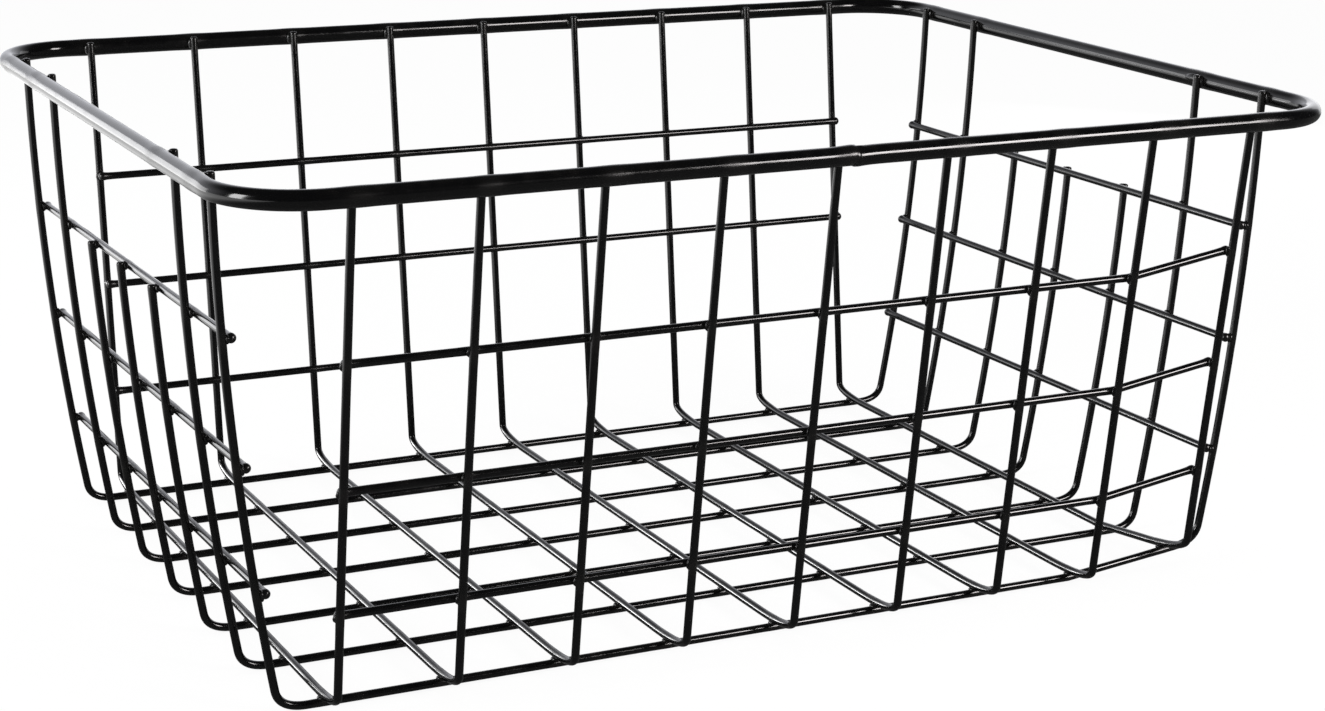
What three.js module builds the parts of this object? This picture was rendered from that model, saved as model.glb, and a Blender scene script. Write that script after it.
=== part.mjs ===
// An open storage basket of painted steel wire, welded where the wires cross.
// Millimetres. The basket stands on z = 0, its length runs along X and its width along Y, front at -Y.
import * as THREE from "three";

// Wire
const WIRE_DIAMETER = 2.6;
const RIM_DIAMETER = 6;
// What is left between two wires where a weld joins them.
const WELD_GAP = 0.2;

// Floor grid: cross hoops step along X and lie on the long hoops, which step along Y.
const CROSS_COUNT = 9;
const CROSS_PITCH = 38.1;
const LONG_COUNT = 7;
const LONG_PITCH = 35.5;
// The long hoops sit this far behind the middle of the floor.
const LONG_SHIFT = 2.5;
// From the outermost grid wires to the foot of the wall beyond them.
const END_MARGIN = 13.6;
const SIDE_MARGIN = 10.7;

// Walls: each leans out by its flare between foot and rim, and the ends have a slight belly too.
const RIM_HEIGHT = 162;
const SIDE_FLARE = 19.2;
const END_FLARE = 16;
const END_BELLY = 3.3;
// Bends: how far each reaches along the floor and up the leg. A long hoop stays flat for a
// short way past the outermost cross hoop before it turns up.
const SIDE_BEND_RUN = 22;
const SIDE_BEND_RISE = 5.8;
const END_BEND_RISE = 6;
const END_FLAT = 3.2;

// Rim
const RIM_CORNER_RADIUS = 26;
const SEAM_OFFSET = 2.2;
const SEAM_GAP = 0.3;
// Leg tips stand this far above the middle of the rim, and short legs this far above the top row.
const TIP_RISE = 2.4;
const FRONT_TIP_RISE = 1.5;
const SHORT_TIP_RISE = 1.3;
// Long hoops at each side that climb to the rim. Those between stop below the hand openings.
const TALL_PER_SIDE = 2;

// Rows: wires welded inside the legs, each wall's heights measured to its bottom row.
const ROW_NAMES = ["bottom", "middle", "top"];
const ROW_PITCH = 39;
const FRONT_ROW_HEIGHT = 33.5;
const BACK_ROW_HEIGHT = 39;
const LEFT_ROW_HEIGHT = 36;
const RIGHT_ROW_HEIGHT = 39.8;
// The rows of the ends climb by this much from the last long hoop to the first.
const LEFT_ROW_CLIMB = 4;
const RIGHT_ROW_CLIMB = 1.6;
const SIDE_ROW_OVERHANG = 2.4;
const END_ROW_OVERHANG = 1.8;

// The front right corner is drawn up: the last cross hoop's front foot, the end of the first
// long hoop under it, and the front rows where they meet it.
const CORNER_LIFT = 6;

// Facets
const WIRE_SIDES = 12;
const RIM_SIDES = 16;
const BEND_STEPS = 6;
const BELLY_STEPS = 8;
const CORNER_STEPS = 8;

const PAINT = { color: 0x131315, roughness: 0.28, metalness: 0.1 };

const WIRE_RADIUS = WIRE_DIAMETER / 2;
const RIM_RADIUS = RIM_DIAMETER / 2;
const WIRE_STEP = WIRE_DIAMETER + WELD_GAP;
const LONG_FLOOR = WIRE_RADIUS;
const CROSS_FLOOR = LONG_FLOOR + WIRE_STEP;
const TIP_HEIGHT = RIM_HEIGHT + TIP_RISE;
const FRONT_TIP_HEIGHT = RIM_HEIGHT + FRONT_TIP_RISE;
// Side is -1 for the left end and 1 for the right.
const LEFT_END = { name: "left", side: -1, bottom: LEFT_ROW_HEIGHT, climb: LEFT_ROW_CLIMB };
const RIGHT_END = { name: "right", side: 1, bottom: RIGHT_ROW_HEIGHT, climb: RIGHT_ROW_CLIMB };

/** The line that the legs of one wall follow from its foot to the rim. */
class Wall {
  constructor(foot, flare, belly, floor, steps) {
    this.foot = foot;
    this.flare = flare;
    this.belly = belly;
    this.floor = floor;
    this.steps = steps;
    this.height = RIM_HEIGHT - floor;
  }

  /** How far the legs' centre lies from the basket's middle at height z. */
  out(z) {
    const share = (z - this.floor) / this.height;
    return this.foot + this.flare * share + 4 * this.belly * share * (1 - share);
  }

  /** How fast the legs lean out at height z. */
  lean(z) {
    const share = (z - this.floor) / this.height;
    return (this.flare + 4 * this.belly * (1 - 2 * share)) / this.height;
  }

  /** The level distance that leaves a given distance square to the leaning legs. */
  level(distance, z) {
    return distance * Math.hypot(1, this.lean(z));
  }

  /** The centre of a row welded inside the legs at height z. */
  row(z) {
    return this.out(z) - this.level(WIRE_STEP, z);
  }

  /** The centre of the rim, which the legs stand inside. */
  rim() {
    return this.out(RIM_HEIGHT) + this.level(RIM_RADIUS + WIRE_RADIUS + WELD_GAP, RIM_HEIGHT);
  }
}

const CROSS_REACH = ((CROSS_COUNT - 1) / 2) * CROSS_PITCH;
const LONG_REACH = ((LONG_COUNT - 1) / 2) * LONG_PITCH;
const SIDE_WALL = new Wall(LONG_REACH + SIDE_MARGIN, SIDE_FLARE, 0, CROSS_FLOOR, 1);
const END_WALL = new Wall(CROSS_REACH + END_MARGIN, END_FLARE, END_BELLY, LONG_FLOOR, BELLY_STEPS);
const SIDE_BEND = { run: SIDE_BEND_RUN, rise: SIDE_BEND_RISE };
const END_BEND = { run: END_MARGIN - WIRE_RADIUS - END_FLAT, rise: END_BEND_RISE };

/** X of a cross hoop, counted from the left. */
function crossPlace(index) {
  return index * CROSS_PITCH - CROSS_REACH;
}

/** Y of a long hoop, counted from the front. */
function longPlace(index) {
  return index * LONG_PITCH - LONG_REACH + LONG_SHIFT;
}

/** Height of a row, counted from the bottom of its wall. */
function rowHeight(bottom, index) {
  return bottom + index * ROW_PITCH;
}

/** Height of a row of an end wall where it passes y. */
function endRowHeight(end, index, y) {
  return rowHeight(end.bottom, index) + (end.climb * (LONG_SHIFT - y)) / (2 * LONG_REACH);
}

/** A wire's centre line, with one section at each of its points, mitred where it turns. */
class WireLine extends THREE.Curve {
  constructor(points) {
    super();
    this.points = points;
    this.last = points.length - 1;
  }

  getUtoTmapping(u) {
    return u;
  }

  getPoint(t, target = new THREE.Vector3()) {
    return target.copy(this.points[Math.round(t * this.last)]);
  }

  getTangent(t, target = new THREE.Vector3()) {
    const index = Math.round(t * this.last);
    const here = this.points[index];
    const ahead = this.points[Math.min(index + 1, this.last)].clone().sub(here).normalize();
    const behind = here.clone().sub(this.points[Math.max(index - 1, 0)]).normalize();
    return target.copy(ahead).add(behind).normalize();
  }
}

/** A round section as a polygon with flats facing up, down and to both sides. */
function roundSection(radius, sides) {
  const corner = radius / Math.cos(Math.PI / sides);
  const points = [];
  for (let side = 0; side < sides; side += 1) {
    const angle = ((side + 0.5) / sides) * 2 * Math.PI;
    points.push(new THREE.Vector2(corner * Math.cos(angle), corner * Math.sin(angle)));
  }
  return new THREE.Shape(points);
}

const WIRE_SECTION = roundSection(WIRE_RADIUS, WIRE_SIDES);
const RIM_SECTION = roundSection(RIM_RADIUS, RIM_SIDES);

/** One length of painted wire. */
function wire(name, points, section = WIRE_SECTION) {
  const geometry = new THREE.ExtrudeGeometry(section, {
    steps: points.length - 1,
    bevelEnabled: false,
    extrudePath: new WireLine(points),
  });
  const mesh = new THREE.Mesh(geometry, new THREE.MeshStandardMaterial(PAINT));
  mesh.name = name;
  return mesh;
}

/**
 * One side of a hoop as (out, up) points, from its tip down the leg and round the bend.
 * The bend ends on the line from its knee to the aim point.
 */
function hoopSide(wall, bend, tip, floor, aim) {
  const bendTop = floor + bend.rise;
  const points = [];
  for (let step = 0; step <= wall.steps; step += 1) {
    const z = THREE.MathUtils.lerp(tip, bendTop, step / wall.steps);
    points.push(new THREE.Vector2(wall.out(z), z));
  }
  const knee = new THREE.Vector2(wall.out(bendTop) - wall.lean(bendTop) * bend.rise, floor);
  const inner = aim.clone().sub(knee).setLength(bend.run).add(knee);
  const turn = new THREE.QuadraticBezierCurve(points.at(-1), knee, inner);
  return points.concat(turn.getPoints(BEND_STEPS).slice(1));
}

/** One side of a hoop whose floor run is level. */
function levelSide(wall, bend, tip, floor) {
  return hoopSide(wall, bend, tip, floor, new THREE.Vector2(0, floor));
}

/** One side of a hoop whose floor run climbs from a point on the floor to a lifted foot. */
function liftedSide(wall, bend, tip, foot, aim) {
  return [...hoopSide(wall, bend, tip, foot, aim), aim];
}

const CROSS_BACK = levelSide(SIDE_WALL, SIDE_BEND, TIP_HEIGHT, CROSS_FLOOR);
const CROSS_FRONT = levelSide(SIDE_WALL, SIDE_BEND, FRONT_TIP_HEIGHT, CROSS_FLOOR);
// The last cross hoop climbs from the second long hoop to its lifted front foot.
const CROSS_LIFTED_FRONT = liftedSide(
  SIDE_WALL,
  SIDE_BEND,
  FRONT_TIP_HEIGHT,
  CROSS_FLOOR + CORNER_LIFT,
  new THREE.Vector2(-longPlace(1), CROSS_FLOOR),
);

/** Height of a hoop side's centre at a distance out from the middle. */
function heightAt(side, out) {
  const inner = side.findIndex((point) => point.x <= out);
  if (inner < 1) {
    return CROSS_FLOOR;
  }
  const share = (out - side[inner].x) / (side[inner - 1].x - side[inner].x);
  return THREE.MathUtils.lerp(side[inner].y, side[inner - 1].y, share);
}

/** Two sides joined into one line, the first below the middle and the second above it. */
function joinSides(first, second, place) {
  return [
    ...first.map((point) => place(-point.x, point.y)),
    ...second.toReversed().map((point) => place(point.x, point.y)),
  ];
}

/** A hoop across the floor and up the front and back walls. */
function crossHoop(index) {
  const x = crossPlace(index);
  const front = index === CROSS_COUNT - 1 ? CROSS_LIFTED_FRONT : CROSS_FRONT;
  const points = joinSides(front, CROSS_BACK, (out, up) => new THREE.Vector3(x, out, up));
  return wire(`cross_hoop_${index + 1}`, points);
}

/** The right side of the first long hoop, drawn up under the last cross hoop. */
function drawnUpEnd(tip, floor) {
  const start = crossPlace(CROSS_COUNT - 2);
  const crossing = heightAt(CROSS_LIFTED_FRONT, -longPlace(0)) - WIRE_STEP;
  const climb = (crossing - floor) / CROSS_PITCH;
  const foot = floor + climb * (END_WALL.foot - start);
  return liftedSide(END_WALL, END_BEND, tip, foot, new THREE.Vector2(start, floor));
}

/** A hoop along the floor and up both end walls, welded under the cross hoops. */
function longHoop(index) {
  const y = longPlace(index);
  const floor = heightAt(CROSS_BACK, Math.abs(y)) - WIRE_STEP;
  const isTall = index < TALL_PER_SIDE || index >= LONG_COUNT - TALL_PER_SIDE;
  const [leftTip, rightTip] = [LEFT_END, RIGHT_END].map((end) =>
    isTall ? TIP_HEIGHT : endRowHeight(end, ROW_NAMES.length - 1, y) + SHORT_TIP_RISE,
  );
  const left = levelSide(END_WALL, END_BEND, leftTip, floor);
  const right = index === 0 ? drawnUpEnd(rightTip, floor) : levelSide(END_WALL, END_BEND, rightTip, floor);
  const points = joinSides(left, right, (out, up) => new THREE.Vector3(out, y, up));
  return wire(`long_hoop_${index + 1}`, points);
}

/** A row along the front wall, which climbs from the last but one cross hoop to the last. */
function frontRow(rowName, index) {
  const z = rowHeight(FRONT_ROW_HEIGHT, index);
  const lifted = z + CORNER_LIFT;
  const start = new THREE.Vector3(-CROSS_REACH - SIDE_ROW_OVERHANG, -SIDE_WALL.row(z), z);
  const turn = new THREE.Vector3(crossPlace(CROSS_COUNT - 2), -SIDE_WALL.row(z), z);
  const joint = new THREE.Vector3(CROSS_REACH, -SIDE_WALL.row(lifted), lifted);
  const overhang = joint.clone().sub(turn).setLength(SIDE_ROW_OVERHANG);
  return wire(`front_row_${rowName}`, [start, turn, joint.add(overhang)]);
}

/** A row along the back wall. */
function backRow(rowName, index) {
  const z = rowHeight(BACK_ROW_HEIGHT, index);
  const y = SIDE_WALL.row(z);
  const reach = CROSS_REACH + SIDE_ROW_OVERHANG;
  return wire(`back_row_${rowName}`, [new THREE.Vector3(-reach, y, z), new THREE.Vector3(reach, y, z)]);
}

/** A row across an end wall. */
function endRow(end, rowName, index) {
  const places = [longPlace(0) - END_ROW_OVERHANG, longPlace(LONG_COUNT - 1) + END_ROW_OVERHANG];
  const points = places.map((y) => {
    const z = endRowHeight(end, index, y);
    return new THREE.Vector3(end.side * END_WALL.row(z), y, z);
  });
  return wire(`${end.name}_row_${rowName}`, points);
}

/** The rim: one thick wire round the top, its ends meeting at a butt seam on the front. */
function rim() {
  const halfLength = END_WALL.rim();
  const halfWidth = SIDE_WALL.rim();
  const seamEnd = (side) => new THREE.Vector3(SEAM_OFFSET + (side * SEAM_GAP) / 2, -halfWidth, RIM_HEIGHT);
  const corners = [
    [1, -1],
    [1, 1],
    [-1, 1],
    [-1, -1],
  ];
  const turns = corners.flatMap(([sideX, sideY], quarter) => {
    const centreX = sideX * (halfLength - RIM_CORNER_RADIUS);
    const centreY = sideY * (halfWidth - RIM_CORNER_RADIUS);
    return Array.from({ length: CORNER_STEPS + 1 }, (_, step) => {
      const angle = (quarter - 1 + step / CORNER_STEPS) * (Math.PI / 2);
      const x = centreX + RIM_CORNER_RADIUS * Math.cos(angle);
      const y = centreY + RIM_CORNER_RADIUS * Math.sin(angle);
      return new THREE.Vector3(x, y, RIM_HEIGHT);
    });
  });
  return wire("rim", [seamEnd(1), ...turns, seamEnd(-1)], RIM_SECTION);
}

const basket = new THREE.Group();
basket.add(rim());
for (let index = 0; index < CROSS_COUNT; index += 1) {
  basket.add(crossHoop(index));
}
for (let index = 0; index < LONG_COUNT; index += 1) {
  basket.add(longHoop(index));
}
ROW_NAMES.forEach((rowName, index) => {
  basket.add(frontRow(rowName, index));
  basket.add(backRow(rowName, index));
  basket.add(endRow(LEFT_END, rowName, index));
  basket.add(endRow(RIGHT_END, rowName, index));
});

export default basket;
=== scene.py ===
"""An open storage basket of welded steel wire in gloss black paint, on a white studio floor.

Metres. The basket stands on z = 0, its length runs along X and its width along Y, front at -Y.
Every wire is swept along its centre line and stands for the solid of the same name.
"""

import logging
import math
from dataclasses import dataclass
from enum import Enum
from itertools import accumulate
from typing import Any, Callable, Sequence

import bpy
from bpy.types import Material, Mesh, Node, NodeSocket, NodeTree, Object
from mathutils import Matrix, Vector


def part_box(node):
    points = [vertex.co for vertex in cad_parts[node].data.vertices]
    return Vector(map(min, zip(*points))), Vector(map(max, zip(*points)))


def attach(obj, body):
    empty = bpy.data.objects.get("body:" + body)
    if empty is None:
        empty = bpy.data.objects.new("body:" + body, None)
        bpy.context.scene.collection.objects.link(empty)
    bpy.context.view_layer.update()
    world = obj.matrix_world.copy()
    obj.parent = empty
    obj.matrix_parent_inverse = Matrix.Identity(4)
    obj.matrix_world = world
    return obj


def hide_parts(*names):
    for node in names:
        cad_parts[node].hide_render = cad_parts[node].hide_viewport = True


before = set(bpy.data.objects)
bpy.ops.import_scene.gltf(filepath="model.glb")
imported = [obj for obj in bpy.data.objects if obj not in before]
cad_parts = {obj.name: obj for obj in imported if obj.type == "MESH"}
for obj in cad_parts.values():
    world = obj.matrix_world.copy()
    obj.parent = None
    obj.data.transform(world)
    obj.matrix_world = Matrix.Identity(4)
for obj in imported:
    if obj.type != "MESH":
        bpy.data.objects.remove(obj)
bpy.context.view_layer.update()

Range = tuple[float, float]
Triple = tuple[float, float, float]
Colour = tuple[float, float, float, float]
Settings = dict[str, Any] | None
Sockets = dict[str | int, Any] | None

MM = 0.001
BODY = "root"
ROW_NAMES = ("bottom", "middle", "top")
WELD_VECTORS = ("facing", "along", "half")
UP = Vector((0, 0, 1))
WHITE = (1.0, 1.0, 1.0, 1.0)
WARM = (1.0, 0.955, 0.945)
# A noise swings to both sides of this.
NOISE_MIDDLE = 0.5
# Makes share * (1 - share) peak at 1.
BOW = 4
# The corner of a bound_box across from its first one.
FAR_CORNER = 6

log = logging.getLogger("wire_basket")


class Side(Enum):
    """The four walls of the basket."""

    FRONT = "front"
    BACK = "back"
    LEFT = "left"
    RIGHT = "right"


OUTWARD = {
    Side.FRONT: Vector((0, -1, 0)),
    Side.BACK: Vector((0, 1, 0)),
    Side.LEFT: Vector((-1, 0, 0)),
    Side.RIGHT: Vector((1, 0, 0)),
}


class End(Enum):
    """How a wire ends."""

    CUT = "cut"
    BEAD = "bead"
    JOINED = "joined"


def maths(operation: str, swapped: bool = False) -> Callable[["Value", Any], "Value"]:
    """Makes a method of Value that adds one Math node.

    Args:
        operation: The Math node's operation.
        swapped: Whether the value itself comes second.

    Returns:
        The method.
    """

    def method(self: "Value", other: Any) -> "Value":
        """Adds the node and takes its result."""
        pair = (other, self) if swapped else (self, other)
        return self.nodes.value("ShaderNodeMath", {"operation": operation}, dict(enumerate(pair)))

    return method


@dataclass
class Value:
    """One output of a node, on which arithmetic adds Math nodes."""

    nodes: "Nodes"
    socket: NodeSocket

    __add__ = maths("ADD")
    __radd__ = maths("ADD", swapped=True)
    __sub__ = maths("SUBTRACT")
    __rsub__ = maths("SUBTRACT", swapped=True)
    __mul__ = maths("MULTIPLY")
    __rmul__ = maths("MULTIPLY", swapped=True)
    most = maths("MAXIMUM")

    def rise(self, low: float, high: float) -> "Value":
        """Goes smoothly from 0 at low to 1 at high."""
        sockets = {"Value": self, "From Min": low, "From Max": high}
        return self.nodes.value("ShaderNodeMapRange", {"interpolation_type": "SMOOTHSTEP"}, sockets)


@dataclass
class Nodes:
    """Adds nodes and links to one tree."""

    tree: NodeTree

    def add(self, kind: str, settings: Settings = None, sockets: Sockets = None) -> Node:
        """Adds one node.

        Args:
            kind: The node's type.
            settings: Its properties, set before its sockets.
            sockets: Values or links for its inputs, by name or number.

        Returns:
            The node.
        """
        node = self.tree.nodes.new(kind)
        for name, value in (settings or {}).items():
            setattr(node, name, value)
        for key, value in (sockets or {}).items():
            source = value.socket if isinstance(value, Value) else value
            if isinstance(source, NodeSocket):
                self.tree.links.new(source, node.inputs[key])
            else:
                node.inputs[key].default_value = source
        return node

    def value(
        self, kind: str, settings: Settings = None, sockets: Sockets = None, output: str | int = 0
    ) -> Value:
        """Adds one node and takes one of its outputs."""
        return Value(self, self.add(kind, settings, sockets).outputs[output])

    def split(self, vector: Any) -> list[Value]:
        """The X, Y and Z of a vector."""
        node = self.add("ShaderNodeSeparateXYZ", None, {0: vector})
        return [Value(self, output) for output in node.outputs]

    def noise(self, vector: Any, scale: float, detail: float = 2.0) -> Value:
        """Noise from 0 to 1, by its features per metre and its finer layers."""
        sockets = {"Vector": vector, "Scale": scale, "Detail": detail}
        return self.value("ShaderNodeTexNoise", None, sockets, "Fac")

    def mix_colour(self, share: Value, first: Any, second: Any) -> Value:
        """Mixes two colours, whose sockets go by number since other types have the same names."""
        sockets = {"Factor": share, 6: first, 7: second}
        return self.value("ShaderNodeMix", {"data_type": "RGBA"}, sockets, 2)


def clear_nodes(owner: Any) -> Nodes:
    """Empties the node tree of a material or world.

    Args:
        owner: The material or world.

    Returns:
        Its nodes.
    """
    owner.use_nodes = True
    owner.node_tree.nodes.clear()
    return Nodes(owner.node_tree)


def add_object(name: str, data: Any) -> Object:
    """Makes an object and links it to the scene.

    Args:
        name: Its name.
        data: Its mesh, light or camera.

    Returns:
        The object.
    """
    made = bpy.data.objects.new(name, data)
    bpy.context.scene.collection.objects.link(made)
    return made


@dataclass(frozen=True)
class GlossBlackPaint:
    """Dipped gloss black paint on steel wire, a little uneven and duller at the welds."""

    black: Colour = (0.0015, 0.0015, 0.0016, 1.0)
    dusty: Colour = (0.005, 0.0046, 0.0042, 1.0)
    dust_tilt: Range = (0.2, 1.0)
    dust_film: Range = (0.45, 0.75)
    weld_dust: float = 0.6
    gloss: float = 0.11
    uneven: float = 0.06
    uneven_film: Range = (0.35, 0.8)
    weld_dulling: float = 0.12
    film_scale: float = 160.0
    film_detail: float = 3.0
    film_bump: float = 2.0
    peel_scale: float = 700.0
    peel_detail: float = 1.0
    peel_depth: float = 0.012 * MM
    peel_strength: float = 0.18
    specular: float = 0.5

    def build(self) -> Material:
        """Makes the material.

        Returns:
            The paint.
        """
        material = bpy.data.materials.new("gloss_black_paint")
        nodes = clear_nodes(material)
        place = nodes.value("ShaderNodeTexCoord", output="Object")
        weld = nodes.value("ShaderNodeAttribute", {"attribute_name": "weld"}, output="Fac")
        film = nodes.noise(place, self.film_scale, self.film_detail)
        peel = nodes.noise(place, self.peel_scale, self.peel_detail)
        height = nodes.split(nodes.value("ShaderNodeNewGeometry", output="Normal"))[2]
        dust = height.rise(*self.dust_tilt) * film.rise(*self.dust_film)
        relief = peel + self.film_bump * film
        bump = {"Strength": self.peel_strength, "Distance": self.peel_depth, "Height": relief}
        look = {
            "Base Color": nodes.mix_colour(dust.most(self.weld_dust * weld), self.black, self.dusty),
            "Roughness": self.gloss + self.uneven * film.rise(*self.uneven_film) + self.weld_dulling * weld,
            "Specular IOR Level": self.specular,
            "Normal": nodes.value("ShaderNodeBump", None, bump),
        }
        shader = nodes.add("ShaderNodeBsdfPrincipled", None, look)
        nodes.add("ShaderNodeOutputMaterial", None, {"Surface": shader.outputs[0]})
        return material


@dataclass(frozen=True)
class WhiteFloor:
    """A plain white studio floor that keeps a faint shadow of what stands on it.

    The camera sees it white. In mirrored rays it glows with painted light: painted shade in front and a
    painted pool of light, stronger than white, at the back left.
    """

    paper: Colour = (0.86, 0.86, 0.86, 1.0)
    # Painted shade: the floor's colour in mirrored rays in front of the basket.
    painted_shade: Colour = (0.12, 0.12, 0.12, 1.0)
    # Painted light: a pool stronger than white that the floor shows in mirrored rays at the back left.
    painted_light: Colour = (1.75, 1.75, 1.75, 1.0)
    glow: float = 0.92
    # Where the painted shade turns into the painted pool of light, along y less slant times x.
    slant: float = 1.2
    lit: Range = (0.3, 0.8)

    def build(self) -> Material:
        """Makes the material.

        Returns:
            The floor's finish.
        """
        material = bpy.data.materials.new("white_floor")
        nodes = clear_nodes(material)
        x, y, _ = nodes.split(nodes.value("ShaderNodeTexCoord", output="Object"))
        straight, mirrored = ways_of_seeing(nodes)
        # Painted reflection: in mirrored rays the floor goes from painted shade in front to a painted pool
        # of light at the back left.
        painted_reflection = nodes.mix_colour((y - self.slant * x).rise(*self.lit), self.painted_shade, self.painted_light)
        colour = nodes.mix_colour(mirrored, WHITE, painted_reflection)
        paper = nodes.add("ShaderNodeBsdfDiffuse", None, {"Color": self.paper})
        light = nodes.add("ShaderNodeEmission", None, {"Color": colour, "Strength": 1.0})
        # The floor glows white for the camera, and with the painted reflection for mirrored rays.
        share = (self.glow * straight).most(mirrored)
        sockets = {0: share, 1: paper.outputs[0], 2: light.outputs[0]}
        mixed = nodes.add("ShaderNodeMixShader", None, sockets)
        nodes.add("ShaderNodeOutputMaterial", None, {"Surface": mixed.outputs[0]})
        return material


def ways_of_seeing(nodes: Nodes) -> tuple[Value, Value]:
    """Tells rays that see the surroundings from those that light things.

    Args:
        nodes: The tree that asks.

    Returns:
        1 for camera and transmission rays, and 1 for rays mirrored on a glossy surface.
    """
    path = nodes.add("ShaderNodeLightPath")
    camera = Value(nodes, path.outputs["Is Camera Ray"])
    return camera.most(path.outputs["Is Transmission Ray"]), Value(nodes, path.outputs["Is Glossy Ray"])


class Tree:
    """One Geometry Nodes tree with named inputs, whose result is kept as a plain mesh."""

    def __init__(self, name: str) -> None:
        """Makes an empty tree with a geometry input and output.

        Args:
            name: The tree's name.
        """
        self.group = bpy.data.node_groups.new(name, "GeometryNodeTree")
        self.nodes = Nodes(self.group)
        self.identifiers: dict[str, str] = {}
        for way in ("INPUT", "OUTPUT"):
            self.group.interface.new_socket("Geometry", in_out=way, socket_type="NodeSocketGeometry")
        self.source = self.nodes.add("NodeGroupInput")

    def input(self, name: str, kind: str) -> Value:
        """Adds one named input.

        Args:
            name: Its name.
            kind: Its socket type, without the prefix.

        Returns:
            The input as a value.
        """
        item = self.group.interface.new_socket(name, in_out="INPUT", socket_type=f"NodeSocket{kind}")
        self.identifiers[name] = item.identifier
        return Value(self.nodes, self.source.outputs[name])

    def attribute(self, name: str, kind: str = "FLOAT") -> Value:
        """Reads a named attribute."""
        return self.nodes.value("GeometryNodeInputNamedAttribute", {"data_type": kind}, {"Name": name})

    def close(self, geometry: Any, paint: Value) -> None:
        """Ends the tree.

        Args:
            geometry: The finished geometry.
            paint: The material input.
        """
        smooth = self.nodes.value("GeometryNodeSetShadeSmooth", None, {"Geometry": geometry})
        real = self.nodes.value("GeometryNodeRealizeInstances", None, {"Geometry": smooth})
        painted = self.nodes.value("GeometryNodeSetMaterial", None, {"Geometry": real, "Material": paint})
        self.nodes.add("NodeGroupOutput", None, {0: painted})

    def lumps(self, geometry: Any, depth: Value, scale: float) -> Value:
        """Moves a surface in and out a little, as an uneven coat of paint does.

        Args:
            geometry: The surface.
            depth: The height of the lumps.
            scale: Their number per metre.

        Returns:
            The moved surface.
        """
        place = self.nodes.value("GeometryNodeInputPosition")
        normal = self.nodes.value("GeometryNodeInputNormal")
        wave = (self.nodes.noise(place, scale) - NOISE_MIDDLE) * depth
        push = {"Vector": normal, "Scale": wave}
        offset = self.nodes.value("ShaderNodeVectorMath", {"operation": "SCALE"}, push)
        return self.nodes.value("GeometryNodeSetPosition", None, {"Geometry": geometry, "Offset": offset})

    def make(self, name: str, source: Mesh, values: dict[str, Any]) -> Object:
        """Runs the tree on a mesh and keeps the result.

        Args:
            name: The piece's name.
            source: The mesh that the tree starts from.
            values: The inputs' values, by name.

        Returns:
            A new object with a plain mesh.
        """
        draft = add_object(f"{name}_draft", source)
        modifier = draft.modifiers.new("build", "NODES")
        modifier.node_group = self.group
        for key, value in values.items():
            modifier[self.identifiers[key]] = value
        depsgraph = bpy.context.evaluated_depsgraph_get()
        mesh = bpy.data.meshes.new_from_object(draft.evaluated_get(depsgraph), depsgraph=depsgraph)
        draft.modifiers.remove(modifier)
        bpy.data.objects.remove(draft)
        mesh.name = name
        return add_object(name, mesh)


@dataclass(frozen=True)
class WireStock:
    """The two wires that the basket is made of."""

    wire: float = 2.6 * MM
    rim: float = 6.0 * MM
    gap: float = 0.2 * MM

    @property
    def radius(self) -> float:
        """Half the thin wire's diameter."""
        return self.wire / 2

    @property
    def rim_radius(self) -> float:
        """Half the rim's diameter."""
        return self.rim / 2

    @property
    def step(self) -> float:
        """Centre to centre of two thin wires that are welded across each other."""
        return self.wire + self.gap


@dataclass(frozen=True)
class Wall:
    """The line that the legs of two facing walls follow from foot to rim."""

    foot: float
    flare: float
    belly: float
    floor: float
    rim_height: float

    def _share(self, z: float) -> float:
        """How far up the wall a height is, from 0 to 1."""
        return (z - self.floor) / (self.rim_height - self.floor)

    def out(self, z: float) -> float:
        """How far the legs' centre lies from the basket's middle at height z."""
        share = self._share(z)
        return self.foot + self.flare * share + BOW * self.belly * share * (1 - share)

    def lean(self, z: float) -> float:
        """How fast the legs lean out at height z."""
        bulge = BOW * self.belly * (1 - 2 * self._share(z))
        return (self.flare + bulge) / (self.rim_height - self.floor)

    def level(self, distance: float, z: float) -> float:
        """The level distance that leaves a distance square to the leaning legs."""
        return distance * math.hypot(1, self.lean(z))

    def axes(self, outward: Vector, z: float) -> tuple[Vector, Vector]:
        """The way out square to the leaning legs at height z, and the way up along them."""
        lean = self.lean(z)
        return (outward - UP * lean).normalized(), (UP + outward * lean).normalized()


@dataclass(frozen=True)
class Weld:
    """One weld: its middle, the way from wire to wire, the way along one wire, and its half sizes."""

    place: Vector
    facing: Vector
    along: Vector
    half: Vector


@dataclass
class WireRun:
    """The stations of one wire, with their thickness and closeness to a weld, and its radius."""

    points: list[Vector]
    swell: list[float]
    weld: list[float]
    radius: float
    closed: bool

    def mesh(self, name: str) -> Mesh:
        """Makes the centre line.

        Args:
            name: The wire's name.

        Returns:
            A mesh of edges with the wire's attributes.
        """
        count = len(self.points)
        edges = [(index, index + 1) for index in range(count - 1)]
        if self.closed:
            edges.append((count - 1, 0))
        mesh = bpy.data.meshes.new(f"{name}_line")
        mesh.from_pydata(self.points, edges, [])
        for key, values in (("swell", self.swell), ("weld", self.weld)):
            mesh.attributes.new(key, "FLOAT", "POINT").data.foreach_set("value", values)
        return mesh


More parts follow.
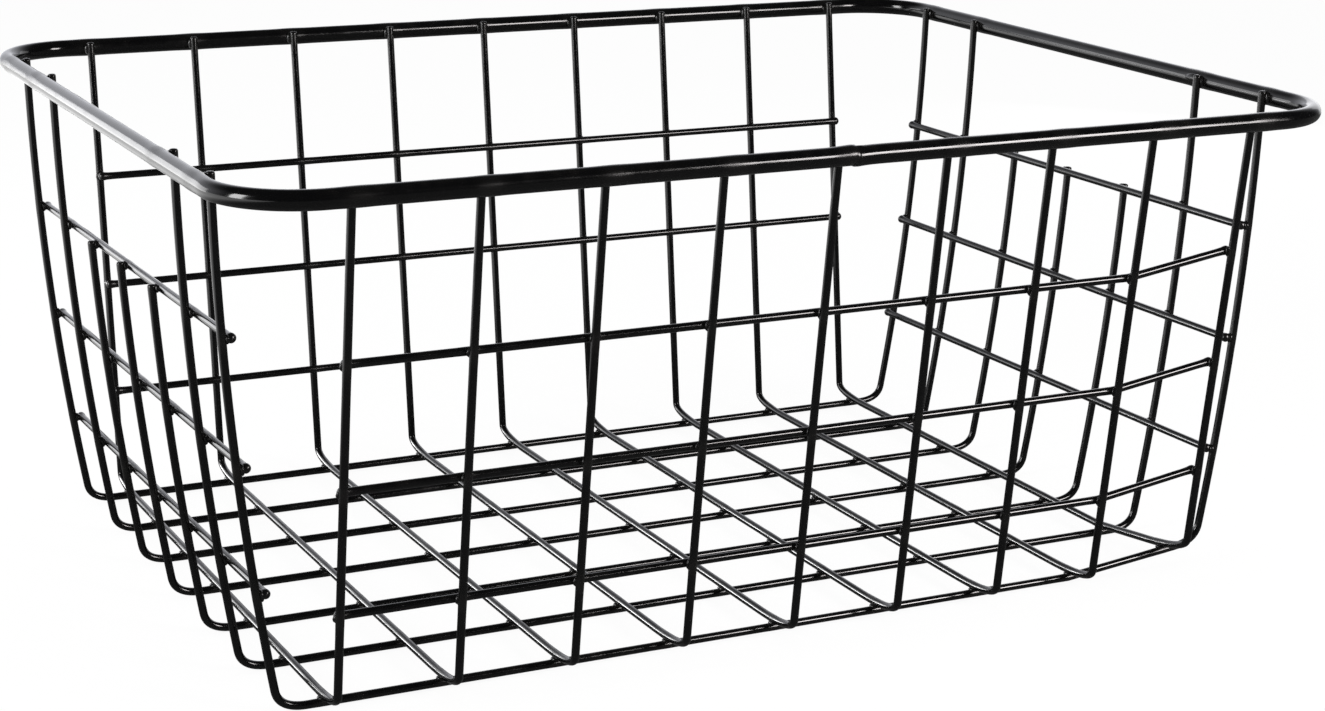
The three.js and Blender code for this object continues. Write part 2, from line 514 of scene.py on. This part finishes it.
@dataclass
class WireShop:
    """Sweeps wires along their centre lines and sets the welds between them."""

    paint: Material
    stock: WireStock = WireStock()
    station: float = 2.2 * MM
    tip_shares: tuple[float, ...] = (0.0, 0.12, 0.3, 0.55, 0.85, 1.2, 1.6, 2.1)
    cut_depth: float = 0.45
    cut_face: float = 0.35
    wire_sides: int = 20
    rim_sides: int = 32
    weld_reach: float = 2.0 * MM
    weld_swell: float = 0.035
    paint_lumps: float = 0.015 * MM
    rim_lumps: float = 0.005 * MM
    lump_scale: float = 170.0
    bead_depth: float = 0.9
    bead_place: float = 1.1
    bead_swell: float = 0.16
    bead_lumps: float = 0.08 * MM
    bead_lump_scale: float = 340.0
    bead_least: Triple = (0.82, 0.82, 0.9)
    bead_most: Triple = (1.15, 1.15, 1.1)
    bead_segments: int = 12
    bead_rings: int = 6

    def __post_init__(self) -> None:
        """Builds the two trees."""
        self.sweep = self._sweep_tree()
        self.welder = self._weld_tree()

    def _sweep_tree(self) -> Tree:
        """Makes the tree that sweeps a round wire along a line of edges.

        Returns:
            The tree.
        """
        tree = Tree("swept_wire")
        add = tree.nodes.value
        radius = tree.input("Wire Radius", "Float")
        sides = tree.input("Sides", "Int")
        lumps = tree.input("Paint Lumps", "Float")
        paint = tree.input("Paint", "Material")
        line = add("GeometryNodeMeshToCurve", None, {"Mesh": tree.source.outputs["Geometry"]})
        ring = add("GeometryNodeCurvePrimitiveCircle", None, {"Resolution": sides, "Radius": radius})
        swell = tree.attribute("swell")
        sockets = {"Curve": line, "Profile Curve": ring, "Scale": swell, "Fill Caps": True}
        swept = add("GeometryNodeCurveToMesh", None, sockets)
        tree.close(tree.lumps(swept, lumps, self.lump_scale), paint)
        return tree

    def _weld_tree(self) -> Tree:
        """Makes the tree that sets a flattened bead on every weld point.

        Returns:
            The tree.
        """
        tree = Tree("weld_beads")
        add = tree.nodes.value
        segments = tree.input("Segments", "Int")
        rings = tree.input("Rings", "Int")
        seed = tree.input("Seed", "Int")
        lumps = tree.input("Paint Lumps", "Float")
        paint = tree.input("Paint", "Material")
        facing, along, half = (tree.attribute(key, "FLOAT_VECTOR") for key in WELD_VECTORS)
        bead = add("GeometryNodeMeshUVSphere", None, {"Segments": segments, "Rings": rings, "Radius": 1.0})
        axes = {"primary_axis": "Z", "secondary_axis": "X"}
        turn = add("FunctionNodeAxesToRotation", axes, {"Primary Axis": facing, "Secondary Axis": along})
        limits = {0: self.bead_least, 1: self.bead_most, "Seed": seed}
        jitter = add("FunctionNodeRandomValue", {"data_type": "FLOAT_VECTOR"}, limits)
        size = add("ShaderNodeVectorMath", {"operation": "MULTIPLY"}, {0: half, 1: jitter})
        points = tree.source.outputs["Geometry"]
        sockets = {"Points": points, "Instance": bead, "Rotation": turn, "Scale": size}
        placed = add("GeometryNodeInstanceOnPoints", None, sockets)
        real = add("GeometryNodeRealizeInstances", None, {"Geometry": placed})
        mark = {"Geometry": real, "Name": "weld", "Value": 1.0}
        marked = add("GeometryNodeStoreNamedAttribute", {"data_type": "FLOAT", "domain": "POINT"}, mark)
        tree.close(tree.lumps(marked, lumps, self.bead_lump_scale), paint)
        return tree

    def _end_swell(self, distance: float, radius: float, end: End) -> float:
        """How thick a wire is near its end, as a share of its size.

        Args:
            distance: From the end, along the wire.
            radius: The wire's own.
            end: How the wire ends.

        Returns:
            1 away from the end, less on its rounded tip and more on a bead.
        """
        if end is End.JOINED:
            return 1.0
        depth = radius * (self.bead_depth if end is End.BEAD else self.cut_depth)
        drop = max(0.0, 1 - distance / depth)
        tip = math.sqrt(max(0.0, 1 - drop * drop))
        if end is End.BEAD:
            return tip * (1 + self.bead_swell * bell(distance / radius - self.bead_place))
        return self.cut_face + (1 - self.cut_face) * tip

    def run(
        self,
        corners: Sequence[Vector],
        welds: Sequence[Weld],
        end: End,
        radius: float | None = None,
        swell: Callable[[Vector], float] = lambda point: 1.0,
    ) -> WireRun:
        """Lays close stations along a wire's centre line.

        Args:
            corners: The line's own points.
            welds: The welds on the wire.
            end: How it ends.
            radius: Its radius, where it isn't the thin wire.
            swell: How thick the wire is at a place, besides its ends and welds.

        Returns:
            The stations.
        """
        thick = radius or self.stock.radius
        points = spaced(corners, self.station, end is End.JOINED)
        if end is not End.JOINED:
            points = with_tips(points, [share * thick for share in self.tip_shares])
        lengths = run_lengths(points)
        whole = lengths[-1]
        places = [weld.place for weld in welds]
        close = [closeness(point, places, self.weld_reach + thick) for point in points]
        swells = []
        for point, length, near in zip(points, lengths, close):
            tip = self._end_swell(min(length, whole - length), thick, end)
            swells.append(tip * swell(point) * (1 + self.weld_swell * near))
        return WireRun(points, swells, close, thick, end is End.JOINED)

    def wire(self, name: str, run: WireRun) -> None:
        """Sweeps one wire and puts it in the place of its solid.

        Args:
            name: The solid's name.
            run: The wire's stations.
        """
        values = {
            "Wire Radius": run.radius,
            "Sides": self.rim_sides if run.closed else self.wire_sides,
            "Paint Lumps": self.rim_lumps if run.closed else self.paint_lumps,
            "Paint": self.paint,
        }
        piece = self.sweep.make(f"{name}_wire", run.mesh(name), values)
        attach(piece, BODY)
        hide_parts(name)
        report(piece, name)

    def beads(self, name: str, welds: Sequence[Weld], seed: int) -> None:
        """Sets the beads of one group of welds.

        Args:
            name: The group's name.
            welds: The welds.
            seed: What their small differences come from.
        """
        mesh = bpy.data.meshes.new(f"{name}_points")
        mesh.from_pydata([weld.place for weld in welds], [], [])
        for key in WELD_VECTORS:
            flat = [part for weld in welds for part in getattr(weld, key)]
            mesh.attributes.new(key, "FLOAT_VECTOR", "POINT").data.foreach_set("vector", flat)
        values = {
            "Segments": self.bead_segments,
            "Rings": self.bead_rings,
            "Seed": seed,
            "Paint Lumps": self.bead_lumps,
            "Paint": self.paint,
        }
        piece = self.welder.make(name, mesh, values)
        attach(piece, BODY)
        report(piece)


def report(piece: Object, node: str | None = None) -> None:
    """Logs one finished piece, and how far its box is from its solid's.

    Args:
        piece: The piece.
        node: The solid that it stands for.
    """
    piece.data.calc_loop_triangles()
    count = len(piece.data.loop_triangles)
    if node is None:
        log.info("%s: %d triangles", piece.name, count)
        return
    ends = [Vector(piece.bound_box[corner]) for corner in (0, FAR_CORNER)]
    apart = max((mine - solid).length for mine, solid in zip(ends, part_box(node)))
    log.info("%s: %d triangles, %.2f mm from its solid", piece.name, count, apart / MM)


def run_lengths(points: Sequence[Vector]) -> list[float]:
    """The length along a line at each of its points, from 0."""
    steps = [(after - before).length for before, after in zip(points, points[1:])]
    return list(accumulate(steps, initial=0.0))


def spaced(corners: Sequence[Vector], step: float, closed: bool) -> list[Vector]:
    """Divides the long stretches of a line.

    Args:
        corners: The line's own points, which stay.
        step: The longest stretch to leave.
        closed: Whether the last point leads back to the first.

    Returns:
        The points.
    """
    ring = list(corners) + ([corners[0]] if closed else [])
    points = [ring[0].copy()]
    for before, after in zip(ring, ring[1:]):
        count = max(1, math.ceil((after - before).length / step))
        points.extend(before.lerp(after, (index + 1) / count) for index in range(count))
    return points[:-1] if closed else points


def with_tips(points: Sequence[Vector], tips: Sequence[float]) -> list[Vector]:
    """Sets close stations at both straight ends of a line.

    Args:
        points: The line.
        tips: Their distances from an end.

    Returns:
        The points.
    """
    lengths = run_lengths(points)
    inner = [point for point, length in zip(points, lengths) if tips[-1] < length < lengths[-1] - tips[-1]]
    first = (points[1] - points[0]).normalized()
    last = (points[-2] - points[-1]).normalized()
    head = [points[0] + first * tip for tip in tips]
    tail = [points[-1] + last * tip for tip in reversed(tips)]
    return head + inner + tail


def closeness(point: Vector, places: Sequence[Vector], reach: float) -> float:
    """Falls from 1 at the nearest of some places to 0 far away, with little left past the reach."""
    nearest = min(((point - place).length for place in places), default=math.inf)
    return bell((nearest / reach) ** 2)


def bell(ratio: float) -> float:
    """A bell curve of 1 at 0, of which little is left at 2."""
    return math.exp(-(ratio**2))


def bezier(start: Vector, knee: Vector, stop: Vector, count: int) -> list[Vector]:
    """Points of a smooth turn, which leaves one line at start and joins another at stop."""
    shares = [index / count for index in range(count + 1)]
    return [start.lerp(knee, share).lerp(knee.lerp(stop, share), share) for share in shares]


@dataclass
class HoopGrid:
    """Two sets of bent wires that share the floor. Cross hoops lie on long hoops, and both climb."""

    shop: WireShop
    cross_count: int = 9
    cross_pitch: float = 38.1 * MM
    long_count: int = 7
    long_pitch: float = 35.5 * MM
    long_shift: float = 2.5 * MM
    end_margin: float = 13.6 * MM
    side_margin: float = 10.7 * MM
    rim_height: float = 162.0 * MM
    side_flare: float = 19.2 * MM
    end_flare: float = 16.0 * MM
    end_belly: float = 3.3 * MM
    side_run: float = 22.0 * MM
    side_rise: float = 4.2 * MM
    end_rise: float = 6.0 * MM
    end_flat: float = 3.2 * MM
    tip_rise: float = 2.4 * MM
    front_tip_rise: float = 1.5 * MM
    short_tip_rise: float = 1.3 * MM
    tall_per_side: int = 2
    corner_lift: float = 6.0 * MM
    bend_steps: int = 22
    leg_steps: int = 40
    weld_half: Triple = (1.75 * MM, 1.75 * MM, 0.95 * MM)
    weld_seed: int = 11

    def __post_init__(self) -> None:
        """Works out the two pairs of walls."""
        stock = self.shop.stock
        self.long_floor = stock.radius
        self.cross_floor = stock.radius + stock.step
        self.cross_reach = (self.cross_count - 1) / 2 * self.cross_pitch
        self.long_reach = (self.long_count - 1) / 2 * self.long_pitch
        side_foot = self.long_reach + self.side_margin
        end_foot = self.cross_reach + self.end_margin
        self.side_wall = Wall(side_foot, self.side_flare, 0.0, self.cross_floor, self.rim_height)
        self.end_wall = Wall(end_foot, self.end_flare, self.end_belly, self.long_floor, self.rim_height)
        self.tip = self.rim_height + self.tip_rise
        self.front_tip = self.rim_height + self.front_tip_rise
        self.cross_back = self._level_side(self.side_wall, self.tip, self.cross_floor)
        self.cross_front = self._level_side(self.side_wall, self.front_tip, self.cross_floor)
        self.lifted_front = self._cross_lifted()

    def cross_place(self, index: int) -> float:
        """X of a cross hoop, counted from the left."""
        return index * self.cross_pitch - self.cross_reach

    def long_place(self, index: int) -> float:
        """Y of a long hoop, counted from the front."""
        return index * self.long_pitch - self.long_reach + self.long_shift

    def _side(self, wall: Wall, tip: float, floor: float, aim: Vector) -> list[Vector]:
        """One side of a hoop from its tip down the leg and round the bend.

        Args:
            wall: The wall that its leg follows.
            tip: The tip's height.
            floor: The foot's height.
            aim: The point on the floor that the bend turns to.

        Returns:
            Its (out, up) points.
        """
        is_side = wall is self.side_wall
        run = self.side_run if is_side else self.end_margin - self.shop.stock.radius - self.end_flat
        rise = self.side_rise if is_side else self.end_rise
        top = floor + rise
        heights = [tip + (top - tip) * step / self.leg_steps for step in range(self.leg_steps + 1)]
        leg = [Vector((wall.out(z), z)) for z in heights]
        knee = Vector((wall.out(top) - wall.lean(top) * rise, floor))
        inner = knee + (aim - knee).normalized() * run
        return leg + bezier(leg[-1], knee, inner, self.bend_steps)[1:]

    def _level_side(self, wall: Wall, tip: float, floor: float) -> list[Vector]:
        """One side of a hoop whose floor run is level."""
        return self._side(wall, tip, floor, Vector((0.0, floor)))

    def _cross_lifted(self) -> list[Vector]:
        """The front side of the last cross hoop, drawn up at the corner."""
        aim = Vector((-self.long_place(1), self.cross_floor))
        return self._side(self.side_wall, self.front_tip, self.cross_floor + self.corner_lift, aim) + [aim]

    def _height_at(self, side: Sequence[Vector], out: float) -> float:
        """Height of a hoop side's centre on the floor, a distance out from the middle.

        Args:
            side: The side's points, from its tip.
            out: The distance.

        Returns:
            The height.
        """
        for before, after in zip(side, side[1:]):
            if after.x <= out < before.x:
                return after.y + (before.y - after.y) * (out - after.x) / (before.x - after.x)
        return self.cross_floor

    def _cross_sides(self, index: int) -> tuple[list[Vector], list[Vector]]:
        """The front and back sides of a cross hoop."""
        is_last = index == self.cross_count - 1
        return (self.lifted_front if is_last else self.cross_front), self.cross_back

    def _long_floor_at(self, index: int) -> float:
        """Height of a long hoop's floor run."""
        return self._height_at(self.cross_back, abs(self.long_place(index))) - self.shop.stock.step

    def _drawn_up_end(self, tip: float, floor: float) -> list[Vector]:
        """The right side of the first long hoop, drawn up under the last cross hoop.

        Args:
            tip: The tip's height.
            floor: The height of the level run.

        Returns:
            Its (out, up) points.
        """
        start = self.cross_place(self.cross_count - 2)
        crossing = self._height_at(self.lifted_front, -self.long_place(0)) - self.shop.stock.step
        climb = (crossing - floor) / self.cross_pitch
        foot = floor + climb * (self.end_wall.foot - start)
        aim = Vector((start, floor))
        return self._side(self.end_wall, tip, foot, aim) + [aim]

    def is_tall(self, index: int) -> bool:
        """Whether a long hoop climbs to the rim."""
        return index < self.tall_per_side or index >= self.long_count - self.tall_per_side

    def floor_welds(self) -> list[Weld]:
        """The welds where cross hoops lie on long hoops.

        Returns:
            The welds, hoop by hoop.
        """
        welds = []
        half = Vector(self.weld_half)
        for cross in range(self.cross_count):
            front, back = self._cross_sides(cross)
            for long in range(self.long_count):
                y = self.long_place(long)
                z = self._height_at(front if y < 0 else back, abs(y)) - self.shop.stock.step / 2
                place = Vector((self.cross_place(cross), y, z))
                welds.append(Weld(place, UP, Vector((1, 0, 0)), half))
        return welds

    def cross_line(self, index: int) -> list[Vector]:
        """The centre line of a cross hoop.

        Args:
            index: Which one, counted from the left.

        Returns:
            Its points, from front to back.
        """
        x = self.cross_place(index)
        front, back = self._cross_sides(index)
        line = [Vector((x, -point.x, point.y)) for point in front]
        return line + [Vector((x, point.x, point.y)) for point in reversed(back)]

    def long_line(self, index: int, left_tip: float, right_tip: float) -> list[Vector]:
        """The centre line of a long hoop.

        Args:
            index: Which one, counted from the front.
            left_tip: Height of its left tip.
            right_tip: Height of its right tip.

        Returns:
            Its points, from left to right.
        """
        y = self.long_place(index)
        floor = self._long_floor_at(index)
        left = self._level_side(self.end_wall, left_tip, floor)
        if index == 0:
            right = self._drawn_up_end(right_tip, floor)
        else:
            right = self._level_side(self.end_wall, right_tip, floor)
        line = [Vector((-point.x, y, point.y)) for point in left]
        return line + [Vector((point.x, y, point.y)) for point in reversed(right)]

    def build(self, welds: Sequence[Weld], ends: Sequence["WallRows"]) -> None:
        """Sweeps every hoop.

        Args:
            welds: All the basket's welds.
            ends: The rows of the left and right ends, at whose top the short hoops stop.
        """
        top = len(ROW_NAMES) - 1
        for index in range(self.cross_count):
            x = self.cross_place(index)
            mine = [weld for weld in welds if abs(weld.place.x - x) < self.shop.stock.wire]
            run = self.shop.run(self.cross_line(index), mine, End.CUT)
            self.shop.wire(f"cross_hoop_{index + 1}", run)
        for index in range(self.long_count):
            y = self.long_place(index)
            mine = [weld for weld in welds if abs(weld.place.y - y) < self.shop.stock.wire]
            short = [end.height(top, y) + self.short_tip_rise for end in ends]
            tips = [self.tip, self.tip] if self.is_tall(index) else short
            run = self.shop.run(self.long_line(index, *tips), mine, End.CUT)
            self.shop.wire(f"long_hoop_{index + 1}", run)
        self.shop.beads("floor_welds", self.floor_welds(), self.weld_seed)


@dataclass
class WallRows:
    """The three wires along one wall, inside its legs. Those of an end climb a little to the front."""

    grid: HoopGrid
    side: Side
    bottom: float
    overhang: float
    climb: float = 0.0
    pitch: float = 39.0 * MM
    weld_half: Triple = (1.8 * MM, 1.7 * MM, 0.95 * MM)
    weld_seed: int = 20

    @property
    def is_end(self) -> bool:
        """Whether the wall is one of the two ends."""
        return self.side in (Side.LEFT, Side.RIGHT)

    @property
    def wall(self) -> Wall:
        """The line of the wall's legs."""
        return self.grid.end_wall if self.is_end else self.grid.side_wall

    @property
    def outward(self) -> Vector:
        """The way out of the basket through this wall."""
        return OUTWARD[self.side]

    def height(self, index: int, along: float) -> float:
        """Height of a row, counted from the bottom, at a place along the wall."""
        share = (self.grid.long_shift - along) / (2 * self.grid.long_reach)
        return self.bottom + index * self.pitch + self.climb * share

    def _legs(self) -> list[float]:
        """The legs of the wall.

        Returns:
            Their places along it.
        """
        if self.is_end:
            return [self.grid.long_place(index) for index in range(self.grid.long_count)]
        return [self.grid.cross_place(index) for index in range(self.grid.cross_count)]

    def _point(self, along: float, out: float, z: float) -> Vector:
        """A point on this wall from its place along, out and up."""
        level = Vector((0, along, 0)) if self.is_end else Vector((along, 0, 0))
        return level + self.outward * out + UP * z

    def _joints(self, index: int) -> list[Vector]:
        """A row's centre at each leg, which the drawn-up front corner lifts at the last one.

        Args:
            index: Which row, counted from the bottom.

        Returns:
            The points.
        """
        points = []
        legs = self._legs()
        for number, along in enumerate(legs):
            lifted = self.side is Side.FRONT and number == len(legs) - 1
            z = self.height(index, along) + (self.grid.corner_lift if lifted else 0.0)
            out = self.wall.out(z) - self.wall.level(self.grid.shop.stock.step, z)
            points.append(self._point(along, out, z))
        return points

    def line(self, index: int) -> list[Vector]:
        """The centre line of a row.

        Args:
            index: Which row, counted from the bottom.

        Returns:
            Its points, with the overhang past the outer legs.
        """
        joints = self._joints(index)
        first = joints[0] + (joints[0] - joints[1]).normalized() * self.overhang
        last = joints[-1] + (joints[-1] - joints[-2]).normalized() * self.overhang
        return [first] + joints + [last]

    def welds(self) -> list[Weld]:
        """The welds between the rows and the legs.

        Returns:
            The welds, row by row.
        """
        welds = []
        half = Vector(self.weld_half)
        for index in range(len(ROW_NAMES)):
            for joint in self._joints(index):
                facing, leg = self.wall.axes(self.outward, joint.z)
                place = joint + facing * (self.grid.shop.stock.step / 2)
                welds.append(Weld(place, facing, leg, half))
        return welds

    def build(self) -> None:
        """Sweeps the rows and sets their welds."""
        shop = self.grid.shop
        welds = self.welds()
        for index, row in enumerate(ROW_NAMES):
            run = shop.run(self.line(index), welds, End.BEAD)
            shop.wire(f"{self.side.value}_row_{row}", run)
        seed = self.weld_seed + list(Side).index(self.side)
        shop.beads(f"{self.side.value}_wall_welds", welds, seed)


@dataclass
class Rim:
    """The thick wire round the top, butt welded at the front, with every tall leg welded inside it."""

    grid: HoopGrid
    corner_radius: float = 26.0 * MM
    seam_offset: float = 2.2 * MM
    seam_step: float = 0.22 * MM
    seam_reach: float = 4.5 * MM
    seam_stations: tuple[float, ...] = (0.5 * MM, 1.2 * MM, 3.0 * MM, 6.0 * MM, 9.0 * MM)
    bulge: float = 0.03
    bulge_reach: float = 3.2 * MM
    groove: float = 0.06
    groove_reach: float = 0.45 * MM
    weld_half: Triple = (2.3 * MM, 2.1 * MM, 1.1 * MM)
    weld_seed: int = 31
    smear_depth: float = 2.4 * MM
    smear_offset: float = 4.4 * MM
    smear_rise: float = 0.5 * MM
    smear_half: Triple = (1.9 * MM, 4.2 * MM, 1.2 * MM)
    corner_steps: int = 24

    def __post_init__(self) -> None:
        """Works out the rim's half sizes."""
        stock = self.grid.shop.stock
        reach = stock.rim_radius + stock.radius + stock.gap
        top = self.grid.rim_height
        self.half_length = self.grid.end_wall.out(top) + self.grid.end_wall.level(reach, top)
        self.half_width = self.grid.side_wall.out(top) + self.grid.side_wall.level(reach, top)

    @property
    def seam(self) -> Vector:
        """The middle of the butt seam."""
        return Vector((self.seam_offset, -self.half_width, self.grid.rim_height))

    def line(self) -> list[Vector]:
        """The rim's centre line, from the seam to the right and round.

        Returns:
            Its points.
        """
        points = []
        for quarter, (side_x, side_y) in enumerate(((1, -1), (1, 1), (-1, 1), (-1, -1))):
            middle_x = side_x * (self.half_length - self.corner_radius)
            middle_y = side_y * (self.half_width - self.corner_radius)
            for step in range(self.corner_steps + 1):
                angle = (quarter - 1 + step / self.corner_steps) * math.pi / 2
                x = middle_x + self.corner_radius * math.cos(angle)
                y = middle_y + self.corner_radius * math.sin(angle)
                points.append(Vector((x, y, self.grid.rim_height)))
        steps = [Vector((station, 0, 0)) for station in self.seam_stations]
        right = [self._stepped(self.seam + step) for step in steps]
        left = [self._stepped(self.seam - step) for step in reversed(steps)]
        return [self.seam] + right + points + left

    def _stepped(self, point: Vector) -> Vector:
        """Moves a point near the seam, where the wire's left end sits a little higher than its right one.

        Args:
            point: The point on the level line.

        Returns:
            The moved point.
        """
        distance = point.x - self.seam_offset
        step = -math.copysign(self.seam_step, distance) * bell(distance / self.seam_reach)
        return point + UP * step

    def _seam_swell(self, point: Vector) -> float:
        """How thick the rim is near its seam: upset ends with a fine groove between them.

        Args:
            point: A point on the rim.

        Returns:
            Its thickness as a share of the rim's own.
        """
        distance = (point - self.seam).length
        bulge = self.bulge * bell(distance / self.bulge_reach)
        return 1 + bulge - self.groove * bell(distance / self.groove_reach)

    def welds(self) -> list[Weld]:
        """The welds between the rim and the legs that stand inside it.

        Returns:
            The welds, wall by wall.
        """
        grid = self.grid
        crosses = [grid.cross_place(index) for index in range(grid.cross_count)]
        longs = [grid.long_place(index) for index in range(grid.long_count) if grid.is_tall(index)]
        welds = []
        for sign in (-1, 1):
            welds += [self._weld(grid.side_wall, Vector((x, 0, 0)), Vector((0, sign, 0))) for x in crosses]
            welds += [self._weld(grid.end_wall, Vector((0, y, 0)), Vector((sign, 0, 0))) for y in longs]
        return welds + [self._smear()]

    def _smear(self) -> Weld:
        """The weld that ran along the right rim, behind its second leg.

        Returns:
            The weld.
        """
        x = self.half_length - self.smear_depth
        y = self.grid.long_place(1) + self.smear_offset
        z = self.grid.rim_height + self.smear_rise
        facing = Vector((self.smear_depth, 0, -self.smear_rise)).normalized()
        along = Vector((self.smear_rise, 0, self.smear_depth)).normalized()
        return Weld(Vector((x, y, z)), facing, along, Vector(self.smear_half))

    def _weld(self, wall: Wall, along: Vector, outward: Vector) -> Weld:
        """One weld between a leg and the rim.

        Args:
            wall: The leg's wall.
            along: The leg's place along the wall.
            outward: The way out through the wall.

        Returns:
            The weld.
        """
        stock = self.grid.shop.stock
        top = self.grid.rim_height
        facing, leg = wall.axes(outward, top)
        centre = along + outward * wall.out(top) + UP * top
        place = centre + facing * (stock.radius + stock.gap / 2)
        return Weld(place, facing, leg, Vector(self.weld_half))

    def build(self) -> None:
        """Sweeps the rim and sets its welds."""
        shop = self.grid.shop
        welds = self.welds()
        run = shop.run(self.line(), welds, End.JOINED, shop.stock.rim_radius, self._seam_swell)
        shop.wire("rim", run)
        shop.beads("rim_welds", welds, self.weld_seed)


@dataclass
class Lamp:
    """One soft box: its place, aim, size, power, throw and tint."""

    name: str
    place: Triple
    aim: Triple
    size: Range
    power: float
    spread: float = 180.0
    tint: Triple = (1.0, 1.0, 1.0)

    def build(self) -> None:
        """Sets up the lamp, unseen by the camera."""
        data = bpy.data.lights.new(self.name, "AREA")
        data.shape = "RECTANGLE"
        data.size, data.size_y = self.size
        data.energy = self.power
        data.spread = math.radians(self.spread)
        data.color = self.tint
        lamp = add_object(self.name, data)
        lamp.location = self.place
        way = Vector(self.aim) - Vector(self.place)
        lamp.rotation_euler = way.to_track_quat("-Z", "Y").to_euler()
        lamp.visible_camera = False


@dataclass
class Studio:
    """The white floor, the backdrop, the soft boxes and the camera."""

    floor_half: float = 6.0
    camera_place: Triple = (-394.39 * MM, -809.79 * MM, 311.53 * MM)
    camera_heading: float = 26.58
    camera_pitch: float = -15.25
    camera_roll: float = 0.905
    level_tilt: float = 90.0
    sensor: float = 36.0
    lens: float = 72.66
    near: float = 10.0 * MM
    fill: float = 0.8
    ceiling: float = 0.03
    middle: float = 0.3
    middle_ahead: Range = (0.9, 0.95)
    wall_ahead: Range = (0.1, 0.8)
    wall_top: Range = (0.3, 0.75)
    backdrop: Colour = (0.93, 0.94, 1.0, 1.0)
    lamps: tuple[Lamp, ...] = (
        Lamp("front_box", (0.512, -0.802, 0.41), (-0.063, -0.102, 0.12), (0.3, 0.27), 4.9, tint=WARM),
        Lamp("back_box", (-0.61, 0.69, 0.23), (0.0, 0.0, 0.21), (0.56, 0.34), 1.7),
        Lamp("right_box", (0.82, 0.49, 0.27), (0.18, -0.13, 0.2), (0.6, 0.5), 0.8),
        Lamp("left_box", (-1.6, -0.15, 0.6), (0.0, 0.0, 0.3), (0.45, 0.95), 18.0),
        Lamp("low_box", (-0.36, 0.45, 0.055), (0.05, -0.093, 0.005), (0.17, 0.1), 0.04, spread=28.0),
        Lamp("floor_box", (0.575, -0.75, 0.41), (0.1, -0.06, 0.0), (0.4, 0.2), 0.04, spread=16.0, tint=WARM),
    )

    def _floor(self) -> None:
        """Lays the floor."""
        half = self.floor_half
        mesh = bpy.data.meshes.new("studio_floor")
        corners = [(-half, -half, 0), (half, -half, 0), (half, half, 0), (-half, half, 0)]
        mesh.from_pydata(corners, [], [(0, 1, 2, 3)])
        mesh.materials.append(WhiteFloor().build())
        floor = add_object("studio_floor", mesh)

    def _world(self) -> None:
        """Sets the white surroundings, of which mirrored rays see the backdrop behind the basket."""
        world = bpy.data.worlds.new("white_studio")
        bpy.context.scene.world = world
        nodes = clear_nodes(world)
        _, y, z = nodes.split(nodes.value("ShaderNodeTexCoord", output="Generated"))
        straight, mirrored = ways_of_seeing(nodes)
        middle = 1 + self.middle * y.rise(*self.middle_ahead)
        shown = y.rise(*self.wall_ahead) * (1 - z.rise(*self.wall_top)) * middle
        wall = self.ceiling + (1 - self.ceiling) * shown
        strength = straight + (1 - straight) * (mirrored * wall + (1 - mirrored) * self.fill)
        colour = nodes.mix_colour(mirrored, WHITE, self.backdrop)
        light = nodes.add("ShaderNodeBackground", None, {"Color": colour, "Strength": strength})
        nodes.add("ShaderNodeOutputWorld", None, {"Surface": light.outputs[0]})

    def _camera(self) -> None:
        """Sets the camera where the photograph was taken."""
        data = bpy.data.cameras.new("camera")
        data.sensor_fit = "HORIZONTAL"
        data.sensor_width = self.sensor
        data.lens = self.lens
        data.clip_start = self.near
        camera = add_object("camera", data)
        turn = Matrix.Rotation(math.radians(-self.camera_heading), 4, "Z")
        tilt = Matrix.Rotation(math.radians(self.level_tilt + self.camera_pitch), 4, "X")
        roll = Matrix.Rotation(math.radians(self.camera_roll), 4, "Z")
        camera.matrix_world = Matrix.Translation(self.camera_place) @ turn @ tilt @ roll
        bpy.context.scene.camera = camera

    def build(self) -> None:
        """Sets up the whole studio."""
        self._floor()
        self._world()
        for lamp in self.lamps:
            lamp.build()
        self._camera()
        bpy.context.scene.view_settings.view_transform = "Standard"


def main() -> None:
    """Builds the basket and the studio."""
    logging.basicConfig(level=logging.INFO, format="%(name)s: %(message)s")
    Studio().build()
    shop = WireShop(GlossBlackPaint().build())
    grid = HoopGrid(shop)
    rows = [
        WallRows(grid, Side.FRONT, bottom=33.5 * MM, overhang=1.0 * MM),
        WallRows(grid, Side.BACK, bottom=39.0 * MM, overhang=1.3 * MM),
        WallRows(grid, Side.LEFT, bottom=36.0 * MM, overhang=1.0 * MM, climb=4.0 * MM),
        WallRows(grid, Side.RIGHT, bottom=39.8 * MM, overhang=1.1 * MM, climb=1.6 * MM),
    ]
    rim = Rim(grid)
    welds = grid.floor_welds() + rim.welds()
    for wall in rows:
        welds += wall.welds()
    grid.build(welds, [wall for wall in rows if wall.is_end])
    for wall in rows:
        wall.build()
    rim.build()


if __name__ == "__main__":
    main()
